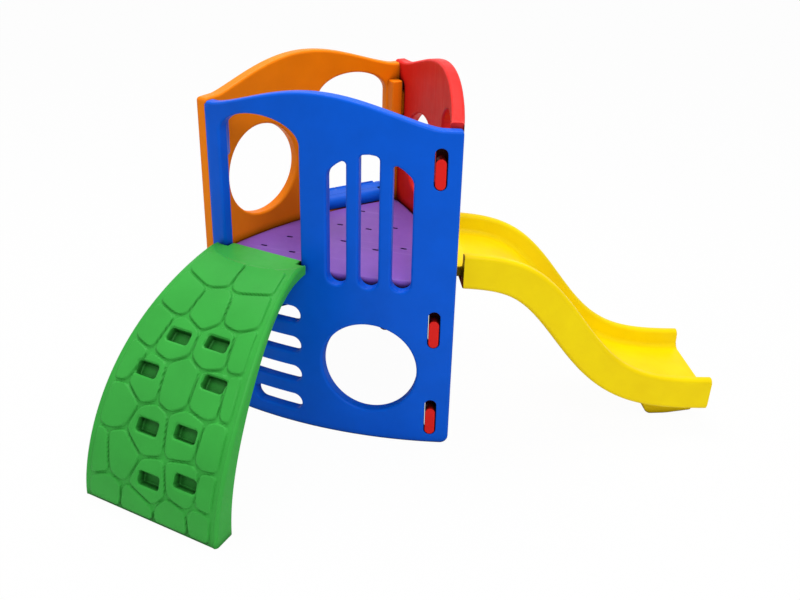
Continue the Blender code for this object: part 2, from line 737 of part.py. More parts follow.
def make_empty(name, collection, parent, matrix):
    empty = bpy.data.objects.new(name, None)
    collection.objects.link(empty)
    empty.parent = parent
    empty.matrix_local = matrix
    return empty


def centre_on_origin(origin, pieces):
    """Move the whole object so that the origin is under the middle of its box."""
    bpy.context.view_layer.update()
    corners = [piece.matrix_world @ vertex.co for piece in pieces for vertex in piece.data.vertices]
    for axis in (0, 1):
        values = [corner[axis] for corner in corners]
        origin.location[axis] = -(min(values) + max(values)) / 2


def build():
    clear_scene()
    collection = bpy.data.collections.new("modular_climbing_frame")
    bpy.context.scene.collection.children.link(collection)
    origin = make_empty("frame_origin", collection, None, Matrix.Identity(4))
    windows = [window_outline(*window) for window in zip(WINDOW_STARTS, WINDOW_CORNERS)]
    blue_holes = [round_hole(*LOWER_HOLE)] + rung_outlines() + windows
    walls = (("blue_panel", "blue", [], blue_holes),
             ("red_panel", "red", low_arch(), [round_hole(*UPPER_HOLE)]),
             ("orange_panel", "orange", low_arch(), [round_hole(*UPPER_HOLE)]))
    pieces = []
    for index, (name, color, foot_corners, holes) in enumerate(walls):
        wall = make_wall(name, index, foot_corners, holes)
        finish(wall, color, collection, origin, turn_to_wall(index))
        pieces.append(wall)
    deck = make_deck()
    finish(deck, "purple", collection, origin)
    pieces.append(deck)
    modules = ((make_ramp("green_ramp", RAMP_REACH), "green", 0, RAMP_YAW),
               (make_slide("slide"), "yellow", 1, SLIDE_YAW),
               (make_ramp("rear_ramp", REAR_RAMP_REACH), "blue", 2, RAMP_YAW))
    for module, color, index, yaw in modules:
        place = doorway_frame(index) @ Matrix.Rotation(yaw, 4, "Z")
        mount = make_empty(module.name + "_doorway", collection, origin, place)
        finish(module, color, collection, mount)
        pieces.append(module)
    centre_on_origin(origin, pieces)


build()
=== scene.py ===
import math

import bmesh
import bpy
import numpy as np
from mathutils import Matrix, Vector


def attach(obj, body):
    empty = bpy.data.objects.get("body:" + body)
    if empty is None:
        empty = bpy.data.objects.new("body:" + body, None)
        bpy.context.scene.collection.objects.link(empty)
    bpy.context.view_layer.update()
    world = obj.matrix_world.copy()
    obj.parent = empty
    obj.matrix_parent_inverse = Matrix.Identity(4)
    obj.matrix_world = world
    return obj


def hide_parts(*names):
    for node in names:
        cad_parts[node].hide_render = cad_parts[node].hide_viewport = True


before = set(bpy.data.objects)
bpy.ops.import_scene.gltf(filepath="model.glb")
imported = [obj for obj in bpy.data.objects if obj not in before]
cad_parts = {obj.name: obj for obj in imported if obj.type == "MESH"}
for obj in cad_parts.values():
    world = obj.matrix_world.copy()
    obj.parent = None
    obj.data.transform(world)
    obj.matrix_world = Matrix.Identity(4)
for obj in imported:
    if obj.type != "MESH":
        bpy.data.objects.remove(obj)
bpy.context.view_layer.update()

# Everything is in metres in the CAD's frame. A wall is drawn flat, with x along its arc from the tab end,
# y inward from its outer face and z up, and is then bent. A module (ramp or slide) is drawn in its
# doorway's frame: x across, y inward, z up. Main sizes are the CAD's own, unless a comment gives the CAD's,
# and many small roundings are only here.

# Tower
SIDE, BOW, WALL = 0.957, 0.075, 0.045      # corner to corner, bulge past that line, thickness
CORNER_HEIGHTS, CREST_RISE, CREST_HALF_SPAN = (1.194, 1.211, 1.203), 0.088, 0.42
CREST_SHARPNESS = 0.65                      # below 1 the crest is broader than a cosine wave
EDGE_ROUND, SMALL_ROUND = 0.010, 0.006
GAP, LAP = 0.0004, 0.004                    # between touching mouldings, and where one runs into another
DECK_TOP, DECK_THICKNESS, DECK_ROUND = 0.635, 0.045, 0.018
DOOR_LEFT, DOOR_RIGHT, DOOR_SPRING, DOOR_TOP = 0.100, 0.420, 1.097, 1.183
SILL_CORNER = 0.012
LOWER_HOLE, UPPER_HOLE = (0.674, 0.295, 0.176), (0.698, 0.880, 0.172)      # along, height, radius
WINDOW_STARTS, WINDOW_WIDTH, WINDOW_SILL = (0.519, 0.634, 0.749), 0.070, 0.613
WINDOW_CREST, WINDOW_FALL = (0.669, 1.097), 3.3       # of the arch that the three windows share
WINDOW_CORNERS = ((0.045, 0.012), (0.017, 0.017), (0.012, 0.045))
RUNG_HEIGHTS, RUNG_SLOT, RUNG_GAP = (0.463, 0.338, 0.215), (0.108, 0.412), 0.065
LOW_RUNG_SLOT, LOW_RUNG_HEIGHT = (0.205, 0.412), 0.0925
LOW_ARCH, LOW_ARCH_SPRING, LOW_ARCH_TOP = (0.110, 0.800), 0.170, 0.470
LOW_ARCH_CORNER = 0.035                     # 0.012 in the CAD
SLOT_RANGES, SLOT_WIDTH = ((0.038, 0.185), (0.402, 0.545), (0.993, 1.136)), 0.043
SLOT_FROM_CORNER, SLOT_MOUTH = 0.0668, 0.004          # the soft mouth isn't in the CAD
TAB_WIDTH, TAB_RISE, TAB_DROP, TAB_TIP, TAB_ROUND = 0.036, 0.002, 0.036, 0.006, 0.003
BOSS, BOSS_RISE, BOSS_DEPTH, BOSS_TAPERS = (0.047, 0.094), 0.006, 0.043, (0.62, 0, 0)
SLOT_END_REACH, TAB_END_INSET, FOOT_ROUND, TOP_ROUND = 0.003, 0.0145, 0.030, 0.013
LEDGE, LEDGE_LIP, LEDGE_DEPTH = (0.300, 0.720), 0.012, 0.028
LEDGE_ROUND, LEDGE_END_ROUND = 0.004, 0.003
DECK_CLEAR, DECK_CORNER_CUT = 0.002, 0.012
SLIT_LENGTH, SLIT_WIDTH, SLIT_MOUTH = 0.026, 0.011, 0.0012       # a drain slit, its mouth not in the CAD
DRAIN_SLITS = ((-0.107, 0.122), (-0.033, -0.024), (-0.078, 0.289), (0.013, 0.121), (0.107, -0.056),
               (0.104, 0.170), (0.201, -0.007), (-0.239, -0.063), (-0.294, -0.172), (-0.172, -0.189))

# Modules
TONGUE_WIDTH, TONGUE_TOP, TONGUE_REACH, TONGUE_ROOT = 0.300, 0.675, 0.052, 0.030
TONGUE_ROUND, TONGUE_FOOT_ROUND = 0.028, 0.002        # above and below at its tip, sharp in the CAD
MODULE_CLEAR = 0.003                        # from the wall's outer face
RAMP_YAW, SLIDE_YAW = math.radians(-1.96), math.radians(2.4)
RAMP_REACH, REAR_RAMP_REACH, RAMP_CREST = 0.7135, 0.450, 0.690
RAMP_FULLNESS, RAMP_INNER_FULLNESS = 1.713, 1.93      # exponents of the quarter curves, 2 being an ellipse
RAMP_TOP_WIDTH, RAMP_FOOT_WIDTH, RAMP_TAPER = 0.386, 0.5625, 3.87     # 0.564 at the foot in the CAD
RAMP_LEAN = 0.0398                          # how far across from its top the foot stands
RAMP_THICKNESS, RAMP_INNER_RISE = 0.0914, 0.929
RAMP_ROUND, RIM_ROUND = 0.014, 0.010        # of the face's sides, and of the hollow's rim
DISH_RADIUS, DISH_FLARE, DISH_REACH = 0.185, 0.030, 0.100             # radius 0.165 in the CAD
DISH_LIFT, DISH_SOFT, DISH_BLEND = 0.0006, 0.004, 0.0025
STONES = ((-0.066, 0.910), (0.088, 0.916), (-0.130, 0.765), (-0.009, 0.750), (0.126, 0.773), (-0.176, 0.636),
          (-0.073, 0.616), (0.093, 0.622), (0.202, 0.638), (-0.117, 0.459), (0.012, 0.472), (0.138, 0.473),
          (-0.196, 0.350), (-0.050, 0.298), (0.099, 0.322), (0.216, 0.318), (-0.235, 0.170), (-0.136, 0.193),
          (-0.005, 0.136), (0.130, 0.169), (0.242, 0.168), (-0.184, 0.041), (-0.050, 0.031), (0.098, 0.038),
          (0.229, 0.057), (0.241, 0.486), (-0.222, 0.495))
POCKETS = ((-0.064, 0.622), (0.086, 0.637), (-0.128, 0.484), (0.138, 0.509),
           (-0.053, 0.310), (0.098, 0.330), (-0.006, 0.144), (0.138, 0.181))
STONE_FIELD, FIELD_MARGIN, FIELD_PAST = (0.006, 0.985), 0.026, 0.1
STONE_HEIGHT, STONE_SLOPE, STONE_CORNER = 0.0054, 0.0045, 0.007       # 0.006 and 0.005 in the CAD
GROOVE_HALF, GROOVE_SINK = 0.002, 0.002     # 0.0025 in the CAD, and not sunk
POCKET_WIDTH, POCKET_HEIGHT, POCKET_DEPTH = 0.090, 0.050, 0.030       # width 0.088 in the CAD
POCKET_CORNER, POCKET_LEAST_CORNER = 0.012, 0.002
POCKET_DRAFT = 0.003                        # 0.005 in the CAD
POCKET_LIP, POCKET_FILLET, WELL_TOP = 0.006, 0.006, 0.012
SLIDE_LENGTH, SLIDE_WIDTH, SLIDE_HIGH, SLIDE_LOW = 0.9728, 0.426, 0.748, 0.211     # 0.973 long in the CAD
SLIDE_MIDDLE, SLIDE_SPREAD, SLIDE_SECTION_DEPTH, SLIDE_TROUGH_DEPTH = 0.452, 0.204, 0.129, 0.067
SLIDE_WALL, SLIDE_DRAFT, SLIDE_END_ROUND = 0.037, 0.008, 0.007
SLIDE_BOTTOM_ROUND, SLIDE_RIM_ROUND, SLIDE_TROUGH_ROUND = 0.018, 0.014, 0.022
SLIDE_FOOT, SLIDE_FOOT_WIDTH, SLIDE_FOOT_RAKE, SLIDE_FOOT_LAP = (0.748, 0.962), 0.200, 0.030, 0.012
SLIDE_FOOT_FLAT, SLIDE_FOOT_RISE = 0.860, 0.012
SLIDE_FOOT_ROUNDS = (0.008, 0.2, 0.030)     # at its tip, bend and heel, all sharp in the CAD

# Fineness of the visual meshes
MERGE, FINE_MERGE = 0.00002, 0.00001        # points nearer each other than this are one
CELL, CELL_OFFSET = 0.024, 0.37             # grid that a wall's faces are cut to, and its start in cells
FLAT_ANGLE = 0.002                          # faces that turn less than this are one before they are cut
CREST_STEPS, LOW_ARCH_STEPS, DOOR_STEPS, HOLE_STEPS, DECK_STEPS = 56, 48, 40, 72, 40
RAMP_SAMPLES, RAMP_ROWS, RAMP_COLUMNS, RAMP_UNDER_STEPS = 4001, 290, 150, 16
RAMP_ROUND_STEPS, RAMP_SIDE_STEPS, RIM_STEPS, WELL_STEPS = 6, 5, 3, 3
SLIDE_ROWS = 84
SHARP_ANGLE = math.radians(38)

# Camera, floor and light
CAMERA_YAW, CAMERA_PITCH, CAMERA_ROLL = math.radians(-18.238), math.radians(26.736), math.radians(1.585)
CAMERA_PLACE, CAMERA_LENS, CAMERA_SENSOR, CAMERA_FAR = (1.2406, -2.9124, 2.1056), 43.934, 36, 100
FLOOR_RADIUS, FLOOR_SIDES, FLOOR_DROP = 30, 96, 0.001
FLOOR_GREY, FLOOR_ROUGHNESS, FLOOR_WHITENESS = 0.86, 0.9, 0.97
WORLD_STRENGTH = 0.40
WHITE = (1, 1, 1, 1)
# name, place, target, size and power
LIGHTS = (("key", (2.0, -2.6, 4.0), (0, 0, 0.5), (2.0, 2.0), 88),
          ("top", (-0.9, 0.9, 4.6), (0, 0, 0.4), (2.6, 2.6), 130),
          ("fill", (-4.2, -2.2, 2.4), (0, 0, 0.5), (3.0, 3.0), 14))

ARC_RADIUS = (SIDE ** 2 / 4 + BOW ** 2) / (2 * BOW)
ARC_HALF = math.asin(SIDE / 2 / ARC_RADIUS)
ARC_LENGTH = 2 * ARC_RADIUS * ARC_HALF
CENTRE = Vector((0, SIDE * math.sqrt(3) / 6, 0))
DOOR_MIDDLE = (DOOR_LEFT + DOOR_RIGHT) / 2
SHIFT_X, SHIFT_Y = -0.326996, -0.146944     # brings the whole object's middle over the origin
TOWER = Matrix.Translation((SHIFT_X, SHIFT_Y, 0))

COLORS = {
    "blue": (0.000, 0.105, 0.700), "orange": (0.980, 0.235, 0.002), "red": (0.780, 0.016, 0.012),
    "purple": (0.225, 0.095, 0.460), "green": (0.045, 0.410, 0.056), "yellow": (1.000, 0.730, 0.001),
}


# ---- outlines

def arc_points(cx, cy, rx, ry, start, end, steps):
    angles = [math.radians(start + (end - start) * i / steps) for i in range(steps + 1)]
    return [(cx + rx * math.cos(a), cy + ry * math.sin(a)) for a in angles]


def rounded_polygon(corners, steps=6):
    """A polygon from (x, y, radius) corners, each rounded by an arc."""
    points = []
    for i, (x, y, radius) in enumerate(corners):
        here = Vector((x, y))
        back = (Vector(corners[i - 1][:2]) - here).normalized()
        ahead = (Vector(corners[(i + 1) % len(corners)][:2]) - here).normalized()
        if radius == 0:
            points.append((x, y))
            continue
        half = back.angle(ahead) / 2
        middle = here + (back + ahead).normalized() * radius / math.sin(half)
        first = here + back * radius / math.tan(half) - middle
        last = here + ahead * radius / math.tan(half) - middle
        turn = first.angle_signed(last)
        for step in range(steps + 1):
            spot = first.copy()
            spot.rotate(Matrix.Rotation(-turn * step / steps, 2))
            points.append(tuple(middle + spot))
    return [here for i, here in enumerate(points) if math.dist(here, points[i - 1]) > FINE_MERGE]


def obround(x0, x1, y0, y1, steps=8):
    radius = min(x1 - x0, y1 - y0) / 2
    return rounded_polygon([(x0, y0, radius), (x1, y0, radius), (x1, y1, radius), (x0, y1, radius)], steps)


# ---- mesh helpers

def new_object(name, mesh):
    piece = bpy.data.objects.new(name, mesh)
    bpy.context.scene.collection.objects.link(piece)
    return piece


def object_from_bmesh(name, bm):
    bmesh.ops.recalc_face_normals(bm, faces=bm.faces)
    mesh = bpy.data.meshes.new(name)
    bm.to_mesh(mesh)
    bm.free()
    return new_object(name, mesh)


def plate(name, outlines, thickness, edge_round, round_steps=4):
    """A flat plate in the XY plane from closed outlines, holes included, with rounded edges."""
    curve = bpy.data.curves.new(name, "CURVE")
    curve.dimensions = "2D"
    curve.fill_mode = "BOTH"
    curve.extrude = thickness / 2 - edge_round
    curve.bevel_depth = edge_round
    curve.bevel_resolution = round_steps
    curve.offset = -edge_round
    for outline in outlines:
        spline = curve.splines.new("POLY")
        spline.points.add(len(outline) - 1)
        for point, (x, y) in zip(spline.points, outline):
            point.co = (x, y, 0, 1)
        spline.use_cyclic_u = True
    source = new_object(name + "_curve", curve)
    bpy.context.view_layer.update()
    mesh = bpy.data.meshes.new_from_object(source.evaluated_get(bpy.context.evaluated_depsgraph_get()))
    bm = bmesh.new()
    bm.from_mesh(mesh)
    bpy.data.meshes.remove(mesh)
    bpy.data.objects.remove(source)
    bpy.data.curves.remove(curve)
    bmesh.ops.remove_doubles(bm, verts=bm.verts, dist=MERGE)
    return object_from_bmesh(name, bm)


def remap(piece, rule):
    for vertex in piece.data.vertices:
        vertex.co = rule(vertex.co)
    piece.data.update()


def boolean(target, tool, operation):
    """Apply one Boolean and remove the tool."""
    modifier = target.modifiers.new("cut", "BOOLEAN")
    modifier.operation = operation
    modifier.solver = "MANIFOLD"
    modifier.object = tool
    bpy.context.view_layer.update()
    mesh = bpy.data.meshes.new_from_object(target.evaluated_get(bpy.context.evaluated_depsgraph_get()))
    target.modifiers.remove(modifier)
    target.data = mesh
    bpy.data.objects.remove(tool)


def join_shells(name, pieces):
    bm = bmesh.new()
    for piece in pieces:
        bm.from_mesh(piece.data)
        bpy.data.objects.remove(piece)
    mesh = bpy.data.meshes.new(name)
    bm.to_mesh(mesh)
    bm.free()
    return new_object(name, mesh)


def shell_between(bm, rings):
    """A closed shell through equal rings of vertices, capped at both ends."""
    for low, high in zip(rings, rings[1:]):
        for i in range(len(low)):
            j = (i + 1) % len(low)
            bm.faces.new((low[i], low[j], high[j], high[i]))
    return [bm.faces.new(rings[0][::-1]), bm.faces.new(rings[-1])]


def front_to_upright(co):
    """Turn a plate drawn as (along, height) upright, its thickness running inward."""
    return Vector((co.x, -co.z, co.y))


def side_to_upright(co):
    """Turn a plate drawn as (inward, height) into the module frame, its thickness across."""
    return Vector((co.z, co.x, co.y))


def soft_cutter(name, shape, grow, low, high, mouth):
    """A cutter through a plate from low to high whose mouths flare out by a rounding of radius mouth.

    shape(extra) gives the outline widened by extra; grow is how far the cutter runs past both faces.
    """
    steps = 4
    levels = [(low - grow, mouth), (low, mouth)]
    for i in range(1, steps + 1):
        angle = math.pi / 2 * i / steps
        levels.append((low + mouth * (1 - math.cos(angle)), mouth * (1 - math.sin(angle))))
    levels += [(low + high - level, extra) for level, extra in reversed(levels)]
    bm = bmesh.new()
    rings = [[bm.verts.new((x, y, level)) for x, y in shape(extra)] for level, extra in levels]
    shell_between(bm, rings)
    return object_from_bmesh(name, bm)


# ---- the tower's walls

def turn_to_wall(index):
    turn = Matrix.Rotation(math.radians(120 * index), 4, "Z")
    return Matrix.Translation(CENTRE) @ turn @ Matrix.Translation(-CENTRE)


def bend_point(co):
    """Flat wall coordinates to the bowed wall on the blue side."""
    angle = (co.x - ARC_LENGTH / 2) / ARC_RADIUS
    radius = ARC_RADIUS - co.y
    return Vector((radius * math.sin(angle), ARC_RADIUS - BOW - radius * math.cos(angle), co.z))


def cut_to_cells(piece, step):
    """Cut a piece at even steps along x and z, so that its faces bend and shade evenly."""
    bm = bmesh.new()
    bm.from_mesh(piece.data)
    bmesh.ops.dissolve_limit(bm, angle_limit=FLAT_ANGLE, verts=bm.verts, edges=bm.edges)
    for axis, length in ((0, ARC_LENGTH), (2, max(CORNER_HEIGHTS) + CREST_RISE)):
        for i in range(1, int(length / step) + 1):
            spot, normal = [0, 0, 0], [0, 0, 0]
            spot[axis], normal[axis] = (i + CELL_OFFSET) * step, 1
            bmesh.ops.bisect_plane(bm, geom=bm.verts[:] + bm.edges[:] + bm.faces[:], dist=MERGE,
                                   plane_co=spot, plane_no=normal)
    bm.to_mesh(piece.data)
    bm.free()


def crest(along):
    """How far a wall's top edge rises over its corners."""
    part = min(abs(along - ARC_LENGTH / 2) / CREST_HALF_SPAN, 1)
    return CREST_RISE * (0.5 + 0.5 * math.cos(math.pi * part)) ** CREST_SHARPNESS


def low_arch():
    """The corners of the side walls' opening at floor level, from left to right."""
    start, end = LOW_ARCH
    half = (end - start) / 2
    rise = LOW_ARCH_TOP - LOW_ARCH_SPRING
    arch = arc_points(start + half, LOW_ARCH_SPRING, half, rise, 180, 0, LOW_ARCH_STEPS)
    return [(start, 0, LOW_ARCH_CORNER)] + [(x, y, 0) for x, y in arch] + [(end, 0, LOW_ARCH_CORNER)]


def wall_outline(corner_height, foot_corners):
    left, right = TAB_END_INSET, ARC_LENGTH + SLOT_END_REACH
    start, end = ARC_LENGTH / 2 + CREST_HALF_SPAN, ARC_LENGTH / 2 - CREST_HALF_SPAN
    top = [start + (end - start) * i / CREST_STEPS for i in range(CREST_STEPS + 1)]
    corners = [(left, 0, FOOT_ROUND)] + foot_corners
    corners += [(right, 0, FOOT_ROUND), (right, corner_height, TOP_ROUND)]
    corners += [(along, corner_height + crest(along), 0) for along in top]
    corners += [(left, corner_height, TOP_ROUND)]
    return rounded_polygon(corners)


def door_outline():
    middle, half = DOOR_MIDDLE, (DOOR_RIGHT - DOOR_LEFT) / 2
    arch = arc_points(middle, DOOR_SPRING, half, DOOR_TOP - DOOR_SPRING, 0, 180, DOOR_STEPS)
    sill = rounded_polygon([(DOOR_LEFT, DECK_TOP, SILL_CORNER), (DOOR_RIGHT, DECK_TOP, SILL_CORNER),
                            (DOOR_RIGHT, DOOR_SPRING, 0), (DOOR_LEFT, DOOR_SPRING, 0)])
    return sill[:-2] + arch


def window_outline(start, corner_rounds):
    """One window slot, cut off at the top by the arch that all three share."""
    left_round, right_round = corner_rounds
    end, foot_round = start + WINDOW_WIDTH, WINDOW_WIDTH / 2
    middle = end - foot_round

    def top(along):
        return WINDOW_CREST[1] - WINDOW_FALL * (along - WINDOW_CREST[0]) ** 2
    return rounded_polygon([(start, WINDOW_SILL, foot_round), (end, WINDOW_SILL, foot_round),
                            (end, top(end), right_round), (middle, top(middle), 0),
                            (start, top(start), left_round)])


def round_hole(along, height, radius):
    return arc_points(along, height, radius, radius, 0, 360, HOLE_STEPS)[:-1]


def rung_outlines():
    half = RUNG_GAP / 2
    slots = [obround(*RUNG_SLOT, z - half, z + half) for z in RUNG_HEIGHTS]
    return slots + [obround(*LOW_RUNG_SLOT, LOW_RUNG_HEIGHT - half, LOW_RUNG_HEIGHT + half)]


def corner_slots():
    """Cutters for the three tab slots, with softly rounded mouths."""
    middle, half = ARC_LENGTH - SLOT_FROM_CORNER, SLOT_WIDTH / 2
    cutters = []
    for low, high in SLOT_RANGES:
        def shape(extra, low=low, high=high):
            return obround(middle - half - extra, middle + half + extra, low - extra, high + extra)
        cutters.append(soft_cutter("corner_slot", shape, WALL, -WALL, 0, SLOT_MOUTH))
    slots = join_shells("corner_slots", cutters)
    remap(slots, front_to_upright)
    return slots


def tab(low, high, boss_taper):
    """A tab: an obround bar that passes the neighbour's slot, on a block on the wall's inner face."""
    start, end = BOSS
    foot, front = WALL - 2 * SMALL_ROUND, WALL + BOSS_DEPTH + GAP
    corners = [(foot, low, SMALL_ROUND), (front, low, SMALL_ROUND), (front, high + BOSS_RISE, SMALL_ROUND),
               (foot, high + BOSS_RISE, SMALL_ROUND)]
    block = plate("tab_block", [rounded_polygon(corners, 4)], end - start, SMALL_ROUND)

    def taper(co):
        left = 1 - boss_taper * max(co.x - WALL, 0) / BOSS_DEPTH
        return Vector((start + (co.z + (end - start) / 2) * left, co.x, co.y))
    remap(block, taper)
    length = start + SMALL_ROUND * 2 + TAB_TIP
    bar_side = WALL + (BOSS_DEPTH - TAB_WIDTH) / 2
    outline = obround(bar_side, bar_side + TAB_WIDTH, low + TAB_RISE, high - TAB_DROP)
    bar = plate("tab_bar", [outline], length, TAB_ROUND)
    remap(bar, lambda co: Vector((co.z - TAB_TIP + length / 2, co.x, co.y)))
    boolean(block, bar, "UNION")
    return block


def ledge():
    """The inner shelf that carries one side of the deck."""
    start, end = LEDGE
    top = DECK_TOP - DECK_THICKNESS - GAP
    back, front = WALL - LAP, WALL + LEDGE_DEPTH
    profile = [(back, top - LEDGE_LIP - LEDGE_DEPTH - LAP, 0), (front, top - LEDGE_LIP, LEDGE_ROUND),
               (front, top, LEDGE_ROUND), (back, top, 0)]
    shelf = plate("ledge", [rounded_polygon(profile, 3)], end - start, LEDGE_END_ROUND, 2)
    remap(shelf, lambda co: Vector((co.z + (start + end) / 2, co.x, co.y)))
    return shelf


def slotted_end():
    """The space that the slotted half of a bowed wall takes up, from under the floor to over the crest."""
    start, end = ARC_LENGTH / 2, ARC_LENGTH + SLOT_END_REACH + GAP
    low, high, steps = -WALL, 2 * ARC_LENGTH, 24
    bm = bmesh.new()
    rings = []
    for i in range(steps + 1):
        x = start + (end - start) * i / steps
        corners = [(-WALL, low), (WALL + GAP, low), (WALL + GAP, high), (-WALL, high)]
        rings.append([bm.verts.new(bend_point(Vector((x, y, z)))) for y, z in corners])
    shell_between(bm, rings)
    return object_from_bmesh("neighbour", bm)


def make_wall(name, index, foot_corners, holes):
    """A wall in the blue wall's place: cut and joined flat, bent, then fitted to its neighbour."""
    outline = wall_outline(CORNER_HEIGHTS[index], foot_corners)
    wall = plate(name, [outline, door_outline()] + holes, WALL, EDGE_ROUND)
    remap(wall, lambda co: front_to_upright(co) + Vector((0, WALL / 2, 0)))
    boolean(wall, ledge(), "UNION")
    boolean(wall, corner_slots(), "DIFFERENCE")
    cut_to_cells(wall, CELL)
    remap(wall, bend_point)
    envelope = slotted_end()
    envelope.data.transform(turn_to_wall(-1))
    boolean(wall, envelope, "DIFFERENCE")
    tabs = join_shells("tabs", [tab(low, high, BOSS_TAPERS[index]) for low, high in SLOT_RANGES])
    remap(tabs, bend_point)
    boolean(wall, tabs, "UNION")
    return wall


# ---- deck

def deck_outline():
    """A bowed triangle that fits inside the walls."""
    radius = ARC_RADIUS - WALL - DECK_CLEAR
    lift = ARC_RADIUS - BOW - CENTRE.y
    far = Vector((math.cos(math.radians(-30)), math.sin(math.radians(-30))))
    # distance from the tower's middle to the arc along the corner's direction
    along = far.y * lift
    corner = far * (along + math.sqrt(along ** 2 - lift ** 2 + radius ** 2))
    reach = math.asin((corner.x - DECK_CORNER_CUT) / radius)
    points = []
    for index in range(3):
        turn = turn_to_wall(index)
        for i in range(DECK_STEPS + 1):
            angle = -reach + 2 * reach * i / DECK_STEPS
            spot = Vector((radius * math.sin(angle), ARC_RADIUS - BOW - radius * math.cos(angle), 0))
            points.append(tuple((turn @ spot).xy))
    return points


def make_deck():
    deck = plate("deck_moulding", [deck_outline()], DECK_THICKNESS, DECK_ROUND, 6)
    half = DECK_THICKNESS / 2
    cutters = []
    for across, inward in DRAIN_SLITS:
        x, y = CENTRE.x + across, CENTRE.y + inward

        def shape(extra, x=x, y=y):
            long, wide = SLIT_LENGTH / 2 + extra, SLIT_WIDTH / 2 + extra
            return obround(x - long, x + long, y - wide, y + wide, 4)
        cutters.append(soft_cutter("slit", shape, half, -half, half, SLIT_MOUTH))
    boolean(deck, join_shells("slits", cutters), "DIFFERENCE")
    remap(deck, lambda co: co + Vector((0, 0, DECK_TOP - DECK_THICKNESS / 2)))
    return deck


# ---- modules

def doorway_frame(index):
    """Place of a wall's doorway: x across, y inward, origin on the outer face at the floor."""
    angle = (DOOR_MIDDLE - ARC_LENGTH / 2) / ARC_RADIUS
    foot = bend_point(Vector((DOOR_MIDDLE, 0, 0)))
    return turn_to_wall(index) @ Matrix.Translation(foot) @ Matrix.Rotation(angle, 4, "Z")


def tongue():
    """The part of a module that goes in through the doorway and lies on the sill."""
    low = DECK_TOP + GAP
    corners = [(-TONGUE_ROOT, low, 0), (TONGUE_REACH, low, TONGUE_FOOT_ROUND),
               (TONGUE_REACH, TONGUE_TOP, TONGUE_ROUND), (-TONGUE_ROOT, TONGUE_TOP, 0)]
    piece = plate("tongue", [rounded_polygon(corners, 10)], TONGUE_WIDTH, SMALL_ROUND)
    remap(piece, side_to_upright)
    return piece


def smoothstep(value):
    value = np.clip(value, 0, 1)
    return value * value * (3 - 2 * value)


def ramp_profile(turns):
    """Points (outward, height) on the ramp's outer face for turns from 0 at the foot to 1 at the wall."""
    angle = turns * math.pi / 2
    power = 2 / RAMP_FULLNESS
    return RAMP_REACH * np.cos(angle) ** power, RAMP_CREST * np.sin(angle) ** power


def ramp_stations():
    """Even stations up the face: distance, outward, height, normal and the matching inner point."""
    last_turn = 1 - 1e-9         # just short of the crest
    turns = np.linspace(0, last_turn, RAMP_SAMPLES)
    out, up = ramp_profile(turns)
    distance = np.concatenate([[0], np.cumsum(np.hypot(np.diff(out), np.diff(up)))])
    last = np.interp(-MODULE_CLEAR, -out, distance)
    rows = np.linspace(0, last, RAMP_ROWS + 1)
    out_row, up_row = np.interp(rows, distance, out), np.interp(rows, distance, up)
    slope_out, slope_up = np.gradient(out_row, rows), np.gradient(up_row, rows)
    length = np.hypot(slope_out, slope_up)
    angle = np.interp(rows, distance, turns) * math.pi / 2
    power = 2 / RAMP_INNER_FULLNESS
    in_out = np.maximum((RAMP_REACH - RAMP_THICKNESS) * np.cos(angle) ** power, MODULE_CLEAR)
    in_up = RAMP_CREST * RAMP_INNER_RISE * np.sin(angle) ** power
    return rows, out_row, up_row, slope_up / length, -slope_out / length, in_out, in_up


def half_width(height):
    """Half of the ramp's width at a height, before its lean."""
    part = np.clip(height / RAMP_CREST, 0, 1)
    narrowing = 1 - (1 - RAMP_TOP_WIDTH / RAMP_FOOT_WIDTH) * part ** RAMP_TAPER
    return RAMP_FOOT_WIDTH / 2 * narrowing


def stone_lift(across, distance, height):
    """Height of the worn stones over the ramp's face."""
    spots = np.stack([across, distance], -1)
    seeds = np.array(STONES)
    gaps = np.linalg.norm(spots[..., None, :] - seeds, axis=-1)
    nearest = gaps.argmin(-1)
    own = seeds[nearest]
    total = np.zeros_like(across)
    sharp = 1 / STONE_CORNER
    for seed in seeds:
        away = seed - own
        length = np.linalg.norm(away, axis=-1)
        other = length > FINE_MERGE
        unit = away / np.where(other, length, 1)[..., None]
        edge = (((own + seed) / 2 - spots) * unit).sum(-1)
        total += np.where(other, np.exp(-edge * sharp), 0)
    side = half_width(height) - FIELD_MARGIN - np.abs(across)
    for edge in (side, distance - STONE_FIELD[0], STONE_FIELD[1] - distance):
        total += np.exp(-np.clip(edge, -FIELD_PAST, None) * sharp)
    rise = smoothstep((-np.log(total) / sharp - GROOVE_HALF) / STONE_SLOPE)
    return (STONE_HEIGHT + GROOVE_SINK) * rise - GROOVE_SINK


def pocket_edge(across, distance):
    """Signed distance to the nearest pocket's rounded outline, positive outside."""
    best = np.full_like(across, np.inf)
    for x, y in POCKETS:
        dx = np.abs(across - x) - POCKET_WIDTH / 2 + POCKET_CORNER
        dy = np.abs(distance - y) - POCKET_HEIGHT / 2 + POCKET_CORNER
        inside = np.minimum(np.maximum(dx, dy), 0)
        best = np.minimum(best, np.hypot(np.maximum(dx, 0), np.maximum(dy, 0)) + inside - POCKET_CORNER)
    return best


def face_lift(across, distance, height):
    """Everything that stands up from the ramp's face or sinks into it, bar the pockets' own wells."""
    lift = stone_lift(across, distance, height)
    near = np.clip(POCKET_LIP - pocket_edge(across, distance), 0, POCKET_LIP)
    return lift - (POCKET_LIP - np.sqrt(POCKET_LIP ** 2 - near ** 2))


